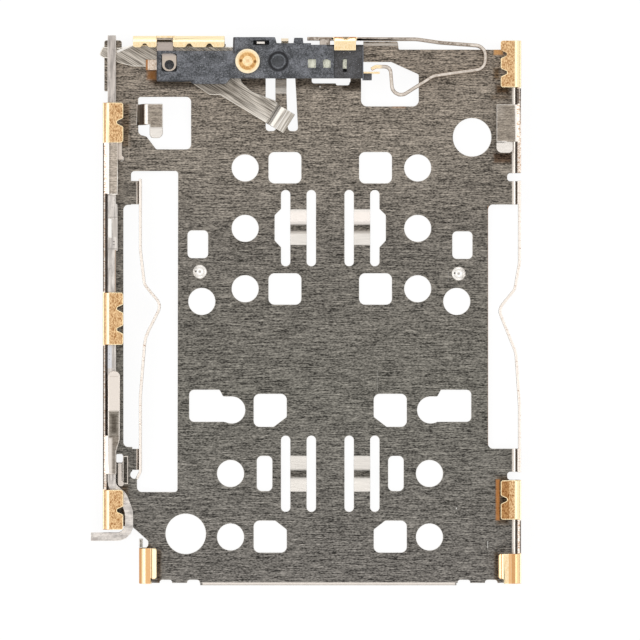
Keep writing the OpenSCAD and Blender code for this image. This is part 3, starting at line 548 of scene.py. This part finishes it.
# Marks on the rod's top: a box, its softness, a colour and its share. The near-white patch at y
# 3.05 to 3.85 is a painted highlight on the slanted left side of the wider part, and the brown
# strip at y 0.75 to 2.55 a painted shade on the rod's narrow side
ROD_MARKS = [
    ((-8.6, -8.32, -2.4, -1.4, *ROD_TOP), 0.03, seen(226, 228, 234), 0.7),
    ((-8.32, -8.22, -2.4, -1.4, *ROD_TOP), 0.03, seen(168, 162, 156), 0.7),
    ((-8.5, -8.33, 3.05, 3.85, *ROD_TOP), 0.03, seen(254, 252, 248), 0.95),
    ((-8.33, -8.1, 3.05, 3.85, *ROD_TOP), 0.05, seen(196, 188, 180), 0.8),
    ((-8.5, -8.1, 3.88, 3.93, *ROD_TOP), 0.02, seen(120, 112, 104), 0.7),
    ((-8.5, -8.1, 2.56, 2.61, *ROD_TOP), 0.02, seen(128, 120, 112), 0.7),
    ((-8.24, -8.2, 4.0, 4.35, *ROD_TOP), 0.04, seen(96, 90, 84), 0.8),
    ((-8.3, -8.2, 2.86, 2.92, *ROD_TOP), 0.02, seen(90, 84, 78), 0.8),
    ((-8.3, -8.2, 2.74, 2.79, *ROD_TOP), 0.02, seen(90, 84, 78), 0.8),
    ((-8.44, -8.4, -1.82, -1.76, *ROD_TOP), 0.02, seen(80, 78, 76), 0.9),
    ((-8.46, -8.42, -2.05, -1.99, *ROD_TOP), 0.02, seen(80, 78, 76), 0.9),
    ((-8.22, -8.14, 0.75, 2.55, *ROD_TOP), 0.02, seen(158, 130, 106), 0.8),
    ((-9.3, -8.9, -9.6, -9.4, *ROD_TOP), 0.08, seen(178, 168, 162), 0.6),
]


def make_rod():
    material, sheet = new_finish("sheared_bright_steel")
    point, at = place_of(sheet)
    lean, _ = lean_of(sheet)
    bowed = within(at[1], -12, -7.1, 0.3)
    marks = stretched_noise(sheet, point, (14, 1.4, 6), detail=2)
    cross = stretched_noise(sheet, point, (3, 7, 6), detail=2)
    marks = marks * (1 - bowed) + cross * bowed
    spots = stretched_noise(sheet, point, (9, 7, 9), detail=3, roughness=0.7)
    tone = mix(sheet, ((marks - 0.5) * 3 + 0.55).clamp(), seen(182, 176, 171),
               seen(236, 228, 220))
    tone = mix(sheet, ((spots - 0.56) * 6).clamp() * 0.6, tone, seen(146, 140, 135))
    back = within(at[1], 4.9, 11.6, 0.3)
    tone = mix(sheet, back, tone, (0.78, 0.76, 0.75, 1), "MULTIPLY")
    # Bevelled edges get a pale painted highlight
    tone = mix(sheet, lean * 0.75, tone, seen(250, 245, 238))
    for box, soft, mark, share in ROD_MARKS:
        tone = mix(sheet, box_mask(point, box, soft) * share, tone, mark)
    finish_surface(sheet, tone, 0.34, bump=marks, depth=0.002)
    return material


rod_steel = make_rod()
print("rod nodes:", len(rod_steel.node_tree.nodes))

# %% Brushed lever
PUSHER_TURN = -31.5
# A painted highlight along the upper edge of the left arm, then painted light and shade across
# the pusher's bends: a dark line at each fold edge and pale ones beside it
LEVER_MARKS = [  # x, y, length, width, turn, colour and share
    (-7.75, 10.97, 0.85, 0.11, 24, seen(250, 246, 240), 0.9),
    (-1.6, 8.2, 0.045, 1.1, PUSHER_TURN, seen(64, 56, 48), 0.85),
    (-1.53, 8.16, 0.08, 1.1, PUSHER_TURN, seen(246, 241, 234), 0.9),
    (-1.25, 7.99, 0.05, 1.1, PUSHER_TURN, seen(248, 244, 238), 0.85),
    (-1.13, 7.92, 0.04, 1.1, PUSHER_TURN, seen(242, 236, 228), 0.7),
    (-1.06, 7.88, 0.05, 1.1, PUSHER_TURN, seen(128, 118, 104), 0.7),
    (-0.96, 7.82, 0.06, 1.1, PUSHER_TURN, seen(140, 130, 114), 0.6),
]


def make_lever():
    material, sheet = new_finish("brushed_lever_steel")
    point, at = place_of(sheet)
    lean, _ = lean_of(sheet)
    arm = stretched_noise(sheet, point, (0.8, 27, 4), detail=2, turn=PUSHER_TURN)
    soft = stretched_noise(sheet, point, (1.2, 7, 4), detail=1, turn=PUSHER_TURN)
    grain = ((arm - 0.5) * 4.2 + (soft - 0.5) * 1.2 + 0.52).clamp()
    tone = mix(sheet, grain, seen(112, 105, 96), seen(212, 203, 191))
    stripe = stretched_noise(sheet, point, (17, 0.9, 2), detail=1, turn=PUSHER_TURN)
    # The pusher gets painted light and shade: pale and dark stripes along its bends
    pusher_light_and_shade = within(at[2], 0.6, 1.0, 0.06) * within(at[0], -2, -0.5)
    tone = mix(sheet, pusher_light_and_shade, tone, mix(sheet, ((stripe - 0.5) * 3.4 + 0.5).clamp(),
                                          seen(160, 152, 141), seen(232, 225, 215)))
    # Bevelled edges get a pale painted highlight
    tone = mix(sheet, lean * 0.85, tone, seen(246, 240, 230))
    shade = box_mask(point, (-6.6, -3.0, 8.9, 9.7), 0.25)
    tone = mix(sheet, shade * 0.6, tone, (0.5, 0.48, 0.46, 1), "MULTIPLY")
    top = within(at[2], 0.5, 1.0, 0.02)
    for x, y, length, width, turn, mark, share in LEVER_MARKS:
        tone = mix(sheet, bar_mask(at, x, y, length, width, turn) * top * share, tone, mark)
    finish_surface(sheet, tone, 0.34, bump=arm, depth=0.002)
    return material


lever_steel = make_lever()
print("lever nodes:", len(lever_steel.node_tree.nodes))

# %% [markdown]
# ## Moulded block
# The insulator is glass-filled plastic: slate coloured, matt, with pale flecks of fibre in
# its skin. It is a little browner and darker in the sunk panel at its right end.

# %% Speckled plastic
PEG = (-1.4, 10.39)
# Painted shade along the block's lower and left edges and in the two recesses beside the solder
# tail, dark lines at x -3.25 and at the panel's edge, and a painted highlight along its right
# edge
BLOCK_MARKS = [
    ((-6.5, -4.9, 9.5, 9.62, 0.5, 1.3), 0.04, seen(40, 40, 44), 0.8),
    ((-6.5, -6.38, 9.6, 10.9, 0.5, 1.3), 0.03, seen(44, 44, 48), 0.7),
    ((-3.3, -3.2, 10.7, 11.4, 0.5, 1.3), 0.03, seen(46, 38, 34), 0.8),
    ((2.1, 2.16, 9.6, 11.1, 0.5, 1.3), 0.02, seen(150, 154, 164), 0.6),
    ((0.9, 0.96, 9.6, 10.9, 0.5, 1.3), 0.03, seen(30, 30, 32), 0.6),
    ((0.6, 1.05, 11.0, 11.5, 0.5, 1.3), 0.02, seen(20, 18, 18), 0.9),
    ((1.8, 2.2, 11.0, 11.5, 0.5, 1.3), 0.02, seen(20, 18, 18), 0.9),
]


def make_plastic():
    material, sheet = new_finish("glass_filled_plastic")
    point, at = place_of(sheet)
    lean, _ = lean_of(sheet)
    speck = stretched_noise(sheet, point, (15, 15, 15), detail=3, roughness=0.8)
    cloud = stretched_noise(sheet, point, (1.6, 2.4, 2), detail=2)
    tone = mix(sheet, ((speck - 0.5) * 3.6 + (cloud - 0.5) * 2.2 + 0.4).clamp(),
               seen(52, 54, 57), seen(128, 130, 136))
    panel = box_mask(point, (0.9, 2.6, 9.5, 11.5))
    tone = mix(sheet, panel * 0.6, tone, seen(56, 52, 50))
    fibre = ((stretched_noise(sheet, point, (22, 22, 22), detail=1) - 0.68) * 12).clamp()
    tone = mix(sheet, fibre * 0.8, tone, seen(196, 198, 204))
    # Bevelled edges get a pale painted highlight
    tone = mix(sheet, lean * 0.35, tone, seen(118, 120, 128))
    # Round the peg: a dark ring of painted shadow, its darker top, and a painted highlight on
    # the upper side of its rim
    tone = mix(sheet, disc_mask(sheet, point, PEG, 0.3, 0.46, 0.04) * 0.85, tone,
               seen(34, 34, 38))
    tone = mix(sheet, disc_mask(sheet, point, PEG, -1, 0.26, 0.03) * 0.75, tone,
               seen(46, 48, 51))
    tone = mix(sheet, disc_mask(sheet, point, PEG, 0.24, 0.31, 0.03)
               * within(at[1], 10.42, 11, 0.15) * 0.7, tone, seen(104, 108, 112))
    for box, soft, mark, share in BLOCK_MARKS:
        tone = mix(sheet, box_mask(point, box, soft) * share, tone, mark)
    finish_surface(sheet, tone, 0.52 + speck * 0.15, metallic=0.0, bump=speck, depth=0.004)
    return material


plastic = make_plastic()
print("plastic nodes:", len(plastic.node_tree.nodes))

# %% [markdown]
# ## Gold rivet, lead frame and switch spring
# The rivet and the lead frame are plated all over. The lead frame was cut from its strip
# after plating, so its stub ends in bare copper. The switch spring is bright spring steel,
# with gold only on its solder tail and on its contact tip.

# %% Gold plate
PIVOT, PIVOT_HOLES = (-2.68, 10.4), ((-2.96, 10.42), (-2.37, 10.38))


def make_gold():
    material, sheet = new_finish("matt_gold_plate")
    point, at = place_of(sheet)
    lean, _ = lean_of(sheet)
    gold, grain = gold_colour(sheet, point, lean, 0.0, 1.0)
    # The rivet: a painted highlight on its outer ring, a deeper gold in its recess, a paler
    # middle and two dark spots
    gold = mix(sheet, disc_mask(sheet, point, PIVOT, 0.42, 0.6, 0.03) * 0.6, gold,
               seen(254, 240, 212))
    gold = mix(sheet, disc_mask(sheet, point, PIVOT, 0.2, 0.38, 0.03) * 0.9, gold,
               mix(sheet, grain, seen(190, 132, 70), seen(232, 184, 118)))
    gold = mix(sheet, disc_mask(sheet, point, PIVOT, -1, 0.1, 0.04) * 0.5, gold,
               seen(232, 186, 140))
    for x, y in PIVOT_HOLES:
        spot = disc_mask(sheet, point, (x, y), -1, 0.085, 0.05)
        gold = mix(sheet, spot * 0.85, gold, seen(120, 76, 32))
    # Painted light: the lead frame's windows are painted pale, where their deep slots would
    # render dark
    window = box_mask(point, (-0.3, 1.6, 9.8, 10.6, 0.6, 0.85))
    gold = mix(sheet, window, gold, seen(244, 244, 226))
    stub = box_mask(point, (-7.0, -6.4, 9.6, 10.6))
    tin = mix(sheet, grain, seen(196, 170, 146), seen(236, 222, 208))
    gold = mix(sheet, stub, gold, tin)
    cut = within(at[0], -7.0, -6.83, 0.02) * stub
    gold = mix(sheet, cut, gold, seen(176, 122, 78))
    gold = mix(sheet, box_mask(point, (-1.35, -0.9, 11.1, 11.5)) * 0.8, gold,
               seen(228, 216, 196))
    finish_surface(sheet, gold, 0.34 + grain * 0.1, bump=grain, depth=0.0015)
    return material


gold_plate = make_gold()
print("gold nodes:", len(gold_plate.node_tree.nodes))


# %% Bright spring steel
def make_spring():
    material, sheet = new_finish("bright_spring_steel")
    point, at = place_of(sheet)
    lean, steep = lean_of(sheet)
    marks = stretched_noise(sheet, point, (6, 9, 9), detail=2)
    tone = mix(sheet, ((marks - 0.5) * 3 + 0.6).clamp(), seen(186, 174, 162),
               seen(232, 222, 211))
    strip = box_mask(point, (-0.3, 6.6, 11.02, 11.5))
    tone = mix(sheet, strip * ((marks - 0.42) * 5).clamp() * 0.8, tone, seen(96, 78, 62))
    # Bevelled edges get a brown painted shade, which draws the strip's dark outline
    tone = mix(sheet, lean * 0.75, tone, seen(140, 122, 104))
    tail = box_mask(point, (0.85, 1.9, 10.6, 11.5, 0.9, 1.5))
    gold, _ = gold_colour(sheet, point, lean, steep, 1.0)
    tip = within(at[0], 2.2, 2.95, 0.15) * within(at[1], 9.8, 10.4)
    tone = mix(sheet, tail.largest(tip), tone, gold)
    finish_surface(sheet, tone, 0.32, bump=marks, depth=0.001)
    return material


spring_steel = make_spring()
print("spring nodes:", len(spring_steel.node_tree.nodes))

# %% [markdown]
# ## Softened edges
# A stamped edge is never a perfect corner: it has a tiny radius that catches the light. The
# imported solids have none, so each node gets a merged copy, bevelled by a few hundredths of a
# millimetre, with its normals weighted so that the flats stay flat. The bevel works in
# millimetres, because Blender's own limits are too coarse for a part this small in metres.
# At the solder feet it is at its widest, and its slopes catch the lamps and take the pale
# painted highlight that draws their outlines. A bevel that isn't clamped can throw a point off
# a narrow corner, so stray points go back to the sheet.

# %% How wide each edge is softened
UPPER_FROM = 0.4  # The shell's faces above this height get the second finish
BACK_WALL_FROM = 10.6  # The back feet keep tight edges
SHARP = math.radians(35)
FULL, SLIGHT = 1.0, 0.3  # Shares of the bevel's width
STRAY = 0.4  # A bevel's corner never lies further off the sheet than this share of its width
# Too narrow for a bevel: beside the rod guide, at the finger's bend, and over the rod
TIGHT_PLACES = [(-8.4, -7.0, 5.8, 8.0, -1, 0.45), (7.5, 8.45, 6.2, 7.7, -1, 1.4),
                (-8.6, -8.2, 6.9, 7.12, 0.9, 1.4)]


def is_tight(place):
    return any(all(box[2 * i] < place[i] < box[2 * i + 1] for i in range(3))
               for box in TIGHT_PLACES)


def edge_share(line, wide_above, is_sheet):
    """How much of the bevel's width an edge takes: none where it is smooth."""
    middle = (line.verts[0].co + line.verts[1].co) / 2
    sharp = len(line.link_faces) == 2 and line.calc_face_angle(0) > SHARP
    if not sharp or (is_sheet and is_tight(middle)):
        return 0.0
    high = min(end.co.z for end in line.verts) > wide_above
    return FULL if high and not (is_sheet and middle.y > BACK_WALL_FROM) else SLIGHT


print("places left sharp:", len(TIGHT_PLACES))


# %% A merged copy, and its bevel
def merged_copy(node):
    """The node's solid in millimetres, with its flat faces joined."""
    copy = bmesh.new()
    copy.from_mesh(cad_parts[node].data)
    bmesh.ops.scale(copy, vec=(1 / MM,) * 3, verts=copy.verts)
    bmesh.ops.remove_doubles(copy, verts=copy.verts, dist=0.0001)
    bmesh.ops.dissolve_limit(copy, angle_limit=math.radians(0.2), verts=copy.verts,
                             edges=copy.edges)
    return copy


def bevelled(piece, width, clamp):
    """The piece's mesh with its weighted edges rounded, and its flats kept flat."""
    bevel = piece.modifiers.new("edge", "BEVEL")
    bevel.width, bevel.segments, bevel.limit_method = width, 2, "WEIGHT"
    bevel.use_clamp_overlap = clamp
    flats = piece.modifiers.new("flats", "WEIGHTED_NORMAL")
    flats.weight = 100
    evaluated = piece.evaluated_get(bpy.context.evaluated_depsgraph_get())
    finished = bpy.data.meshes.new_from_object(evaluated)
    piece.modifiers.clear()
    return finished


# %% A finished piece for each node
def softened(node, material, edge, wide_above=0.0, upper=None, clamp=True):
    """A bevelled copy stands for the node; upper is the finish of its higher faces."""
    copy = merged_copy(node)
    shares = [edge_share(line, wide_above, upper is not None) for line in copy.edges]
    skin = BVHTree.FromBMesh(copy)
    mesh = bpy.data.meshes.new(node)
    copy.to_mesh(mesh)
    copy.free()
    mesh.attributes.new("bevel_weight_edge", "FLOAT", "EDGE").data.foreach_set("value", shares)
    mesh.materials.clear()
    mesh.materials.append(material)
    for face in mesh.polygons:
        face.use_smooth, face.material_index = True, 0
    piece = bpy.data.objects.new(node + "_finished", mesh)
    bpy.context.collection.objects.link(piece)
    finished = bevelled(piece, edge, clamp)
    for vertex in finished.vertices:
        nearest, _, _, away = skin.find_nearest(vertex.co)
        if away > STRAY * edge:
            vertex.co = nearest
    if upper:
        finished.materials.append(upper)
        for face in finished.polygons:
            face.material_index = int(face.center.z > UPPER_FROM)
    finished.transform(Matrix.Scale(MM, 4))
    piece.data = finished
    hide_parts(node)
    print(node, "faces:", len(finished.polygons))
    return piece


# %% Pieces fixed to the body
ROOT_PIECES = [softened("shell", roof_steel, 0.036, 1.04, wall_steel, False),
               softened("housing", plastic, 0.02),
               softened("lever_pivot", gold_plate, 0.02),
               softened("switch_spring", spring_steel, 0.03, clamp=False),
               softened("switch_contact", gold_plate, 0.012)]
for piece in ROOT_PIECES:
    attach(piece, "root")

# %% Pieces that move
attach(softened("eject_rod", rod_steel, 0.03), "rod")
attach(softened("eject_lever", lever_steel, 0.034, clamp=False), "lever")

# %% [markdown]
# ## Floor and light
# The part lies on a white sheet. The camera, and the metal that reflects it, see the sheet
# and the sky as plain white, and the sheet keeps a faint shadow. Four long soft boxes stand
# low around the part, so that flat faces show their own colour while folds and edges flash.

# %% White sheet
SHEET_SHARE = 0.82  # How much of the sheet's own shading the backdrop's white covers
HALF_SIDE, SHEET_Z = 0.6, -0.02 * MM


def backdrop_share(sheet):
    """1 for rays that show the backdrop: from the camera, from metal, or through glass."""
    rays = [sheet.node("ShaderNodeLightPath", out=name) for name in
            ("Is Camera Ray", "Is Glossy Ray", "Is Transmission Ray")]
    return any_of(rays)


def make_floor():
    material, sheet = new_finish("white_sheet")
    paper = sheet.node("ShaderNodeBsdfDiffuse", {"Color": (0.9, 0.9, 0.9, 1)})
    white = sheet.node("ShaderNodeEmission", {"Color": (1, 1, 1, 1), "Strength": 1.09})
    shader = sheet.node("ShaderNodeMixShader", {0: backdrop_share(sheet) * SHEET_SHARE,
                                                1: paper, 2: white})
    sheet.node("ShaderNodeOutputMaterial", {"Surface": shader})
    mesh = bpy.data.meshes.new("floor")
    corners = [(-1, -1), (1, -1), (1, 1), (-1, 1)]
    mesh.from_pydata([(x * HALF_SIDE, y * HALF_SIDE, SHEET_Z) for x, y in corners], [],
                     [(0, 1, 2, 3)])
    mesh.materials.append(material)
    floor = bpy.data.objects.new("floor", mesh)
    bpy.context.collection.objects.link(floor)


make_floor()
print("floor placed")

# %% Sky
world = bpy.data.worlds.new("studio")
bpy.context.scene.world = world
world.use_nodes = True
world.node_tree.nodes.clear()
sky = Wire(world.node_tree)
SKY_LEVEL = 0.62  # How bright the sky shines on the part, where 1 is white
strength = SKY_LEVEL + backdrop_share(sky) * (1 - SKY_LEVEL)
sky_light = sky.node("ShaderNodeBackground", {"Color": (1, 1, 1, 1), "Strength": strength})
sky.node("ShaderNodeOutputWorld", {"Surface": sky_light})
print("sky level:", SKY_LEVEL)

# %% Four soft boxes
LAMP_DISTANCE, LAMP_LENGTH, LAMP_WIDTH = 0.3, 0.22, 0.1  # In metres
for name, azimuth, height, power in (("left", 180, 38, 0.13), ("right", 0, 32, 0.09),
                                     ("back", 90, 35, 0.1), ("front", 270, 35, 0.1)):
    lamp = bpy.data.lights.new(name, "AREA")
    lamp.shape, lamp.energy = "RECTANGLE", power
    lamp.size, lamp.size_y = LAMP_LENGTH, LAMP_WIDTH
    lamp_object = bpy.data.objects.new(name, lamp)
    turn, rise = math.radians(azimuth), math.radians(height)
    toward = Vector((math.cos(turn) * math.cos(rise), math.sin(turn) * math.cos(rise),
                     math.sin(rise)))
    lamp_object.location = toward * LAMP_DISTANCE
    lamp_object.rotation_euler = toward.to_track_quat("Z", "Y").to_euler()
    bpy.context.collection.objects.link(lamp_object)
    print(name, "lamp in mm:", [round(v / MM) for v in lamp_object.location])

# %% Colour settings
bpy.context.scene.view_settings.view_transform = "Standard"
